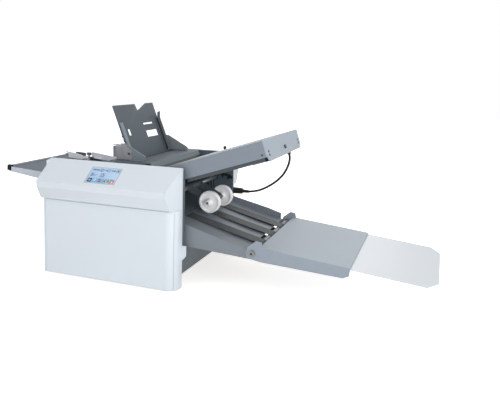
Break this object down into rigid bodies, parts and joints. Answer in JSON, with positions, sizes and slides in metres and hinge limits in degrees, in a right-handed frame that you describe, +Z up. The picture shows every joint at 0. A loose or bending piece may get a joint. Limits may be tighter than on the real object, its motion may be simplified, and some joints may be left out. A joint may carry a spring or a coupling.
{
  "type": "paper folding machine",
  "caption": "Desktop buckle folder: leaning sheet hopper over a roller body with white side covers, an upper and a left fold plate, and a folding outfeed conveyor with stacker wheels.",
  "frame": {"origin": "on the table under the middle of the body, between the two side frames", "axes": "+X the way the folded paper leaves along the conveyor, +Y away from the operator, +Z up"},
  "size_m": [0.9741, 0.4272, 0.3724],
  "materials": {
    "cover_white": "satin",
    "frame_grey": "satin",
    "roller_rubber": "matt",
    "steel": "brushed",
    "screen": "gloss",
    "board_green": "matt",
    "panel_grey": "satin",
    "black_plastic": "satin",
    "belt": "matt",
    "bronze": "satin",
    "nylon_grey": "satin",
    "hopper_grey": "satin",
    "plate_dark": "satin",
    "panel_light": "satin",
    "wheel_white": "translucent",
    "tray_white": "satin"
  },
  "bodies": {
    "machine": {"near_console_cover": "cover_white", "far_console_cover": "cover_white", "near_front_panel": "cover_white", "far_front_panel": "cover_white", "near_side_frame": "frame_grey", "far_side_frame": "frame_grey", "base_pan": "frame_grey", "rubber_feet": "roller_rubber", "cross_bars": "steel", "touchscreen": "screen", "control_board": "board_green", "side_switch_box": "panel_grey", "main_motor": "frame_grey", "drive_belts": "belt", "shaft_bushes": "bronze", "paper_guides": "frame_grey", "hopper_base": "hopper_grey", "hopper_back_plate": "hopper_grey", "hopper_bracket": "hopper_grey", "guide_thumb_screws": "black_plastic", "left_plate_cover": "plate_dark", "plate_sheets": "panel_grey", "left_plate_arm": "panel_grey", "corner_caps": "black_plastic", "upper_plate_channel": "panel_grey", "upper_plate_end_box": "panel_light", "stop_motors": "frame_grey", "plate_hangers": "frame_grey", "panel_screws": "frame_grey", "conveyor_bed": "panel_grey", "conveyor_belts": "belt", "pivot_screws": "black_plastic", "stop_cable": "black_plastic", "cable_plug": "black_plastic", "cable_socket": "black_plastic"},
    "fold_roller_1": {"fold_roller_1": "roller_rubber"},
    "fold_roller_2": {"fold_roller_2": "roller_rubber"},
    "fold_roller_3": {"fold_roller_3": "roller_rubber"},
    "fold_roller_4": {"fold_roller_4": "roller_rubber"},
    "feed_roller": {"feed_shaft": "steel", "feed_tyres": "roller_rubber"},
    "motor_rotor": {"motor_pulley": "steel"},
    "conveyor_drive_roller": {"conveyor_drive_roller": "steel"},
    "conveyor_idle_roller": {"conveyor_idle_roller": "steel"},
    "separator": {"separator_arm": "nylon_grey", "separator_pad": "roller_rubber"},
    "near_side_guide": {"near_side_guide": "panel_grey"},
    "far_side_guide": {"far_side_guide": "hopper_grey"},
    "left_fold_stop": {"left_fold_stop": "nylon_grey"},
    "left_stop_screw": {"left_stop_screw": "steel"},
    "upper_fold_stop": {"upper_fold_stop": "nylon_grey"},
    "upper_stop_screw": {"upper_stop_screw": "steel"},
    "release_lever": {"release_lever": "black_plastic"},
    "clamp_knob": {"clamp_knob": "steel"},
    "rocker_switch": {"rocker_switch": "black_plastic"},
    "stacker_arm": {"stacker_arm": "frame_grey", "stacker_shaft": "steel"},
    "stacker_wheels": {"stacker_wheels": "wheel_white"},
    "conveyor_extension": {"conveyor_extension": "panel_grey"},
    "extension_tray": {"extension_tray": "tray_white"}
  },
  "joints": [
    {"name": "fold_roller_2_spin", "type": "hinge", "parent": "machine", "child": "fold_roller_2", "pos_m": [0.06632, 0, 0.2017], "axis": [0, 1, 0], "continuous": true},
    {"name": "fold_roller_1_spin", "type": "hinge", "parent": "machine", "child": "fold_roller_1", "pos_m": [0.05768, 0, 0.2277], "axis": [0, 1, 0], "continuous": true},
    {"name": "fold_roller_3_spin", "type": "hinge", "parent": "machine", "child": "fold_roller_3", "pos_m": [0.06456, 0, 0.17436], "axis": [0, 1, 0], "continuous": true},
    {"name": "fold_roller_4_spin", "type": "hinge", "parent": "machine", "child": "fold_roller_4", "pos_m": [0.05747, 0, 0.14789], "axis": [0, 1, 0], "continuous": true},
    {"name": "feed_roller_spin", "type": "hinge", "parent": "machine", "child": "feed_roller", "pos_m": [-0.00018, 0, 0.22995], "axis": [0, 1, 0], "continuous": true},
    {"name": "motor_spin", "type": "hinge", "parent": "machine", "child": "motor_rotor", "pos_m": [-0.092, 0.155, 0.062], "axis": [0, 1, 0], "continuous": true},
    {"name": "conveyor_drive_spin", "type": "hinge", "parent": "machine", "child": "conveyor_drive_roller", "pos_m": [0.11, 0, 0.1395], "axis": [0, 1, 0], "continuous": true},
    {"name": "conveyor_idle_spin", "type": "hinge", "parent": "machine", "child": "conveyor_idle_roller", "pos_m": [0.3084, 0, 0.0908], "axis": [0, 1, 0], "continuous": true},
    {"name": "separator_swing", "type": "hinge", "parent": "machine", "child": "separator", "pos_m": [0.03306, 0, 0.22823], "axis": [0, 1, 0], "range_deg": [0, 6], "stiffness_Nm_per_rad": 0.2, "springref_deg": -8.59},
    {"name": "near_guide_slide", "type": "slide", "parent": "machine", "child": "near_side_guide", "axis": [0, 1, 0], "range_m": [-0.012, 0.043]},
    {"name": "far_guide_slide", "type": "slide", "parent": "machine", "child": "far_side_guide", "axis": [0, 1, 0], "range_m": [-0.043, 0.012]},
    {"name": "left_stop_slide", "type": "slide", "parent": "machine", "child": "left_fold_stop", "axis": [0.9979, 0, -0.0645], "range_m": [-0.095, 0.1]},
    {"name": "left_stop_screw_spin", "type": "hinge", "parent": "machine", "child": "left_stop_screw", "pos_m": [-0.14972, 0, 0.19242], "axis": [0.9979, 0, -0.0645], "range_deg": [-4290, 4515]},
    {"name": "upper_stop_slide", "type": "slide", "parent": "machine", "child": "upper_fold_stop", "axis": [0.9489, 0, 0.3156], "range_m": [-0.09, 0.08]},
    {"name": "upper_stop_screw_spin", "type": "hinge", "parent": "machine", "child": "upper_stop_screw", "pos_m": [0.20165, 0, 0.27011], "axis": [0.9489, 0, 0.3156], "range_deg": [-4065, 3615]},
    {"name": "release_lever_turn", "type": "hinge", "parent": "machine", "child": "release_lever", "pos_m": [0.151, 0.15, 0.247], "axis": [0, -1, 0], "range_deg": [-20, 20]},
    {"name": "clamp_knob_turn", "type": "hinge", "parent": "machine", "child": "clamp_knob", "pos_m": [-0.23678, 0.1134, 0.21759], "axis": [0.0645, 0, 0.9979], "continuous": true},
    {"name": "rocker_switch_tilt", "type": "hinge", "parent": "machine", "child": "rocker_switch", "pos_m": [-0.1825, 0.1811, 0.23], "axis": [0, 1, 0], "range_deg": [0, 12]},
    {"name": "stacker_arm_swing", "type": "hinge", "parent": "machine", "child": "stacker_arm", "pos_m": [0.118, 0, 0.188], "axis": [0, -1, 0], "range_deg": [-7, 25]},
    {"name": "stacker_wheels_spin", "type": "hinge", "parent": "stacker_arm", "child": "stacker_wheels", "pos_m": [0.1768, 0, 0.164], "axis": [0, 1, 0], "continuous": true},
    {"name": "conveyor_fold", "type": "hinge", "parent": "machine", "child": "conveyor_extension", "pos_m": [0.3084, 0, 0.0908], "axis": [0, -1, 0], "range_deg": [0, 60]},
    {"name": "tray_slide", "type": "slide", "parent": "conveyor_extension", "child": "extension_tray", "axis": [0.9949, 0, -0.1011], "range_m": [-0.125, 0]}
  ],
  "couplings": [
    {"joint": "fold_roller_1_spin", "follows": "fold_roller_2_spin", "ratio": -1},
    {"joint": "fold_roller_3_spin", "follows": "fold_roller_2_spin", "ratio": -1},
    {"joint": "fold_roller_4_spin", "follows": "fold_roller_2_spin", "ratio": 1},
    {"joint": "feed_roller_spin", "follows": "fold_roller_2_spin", "ratio": 0.66667},
    {"joint": "motor_spin", "follows": "fold_roller_2_spin", "ratio": 1.8},
    {"joint": "conveyor_drive_spin", "follows": "fold_roller_2_spin", "ratio": 1},
    {"joint": "conveyor_idle_spin", "follows": "fold_roller_2_spin", "ratio": 1},
    {"joint": "far_guide_slide", "follows": "near_guide_slide", "ratio": -1},
    {"joint": "left_stop_screw_spin", "follows": "left_stop_slide", "rad_per_m": 785.4},
    {"joint": "upper_stop_screw_spin", "follows": "upper_stop_slide", "rad_per_m": 785.4}
  ]
}
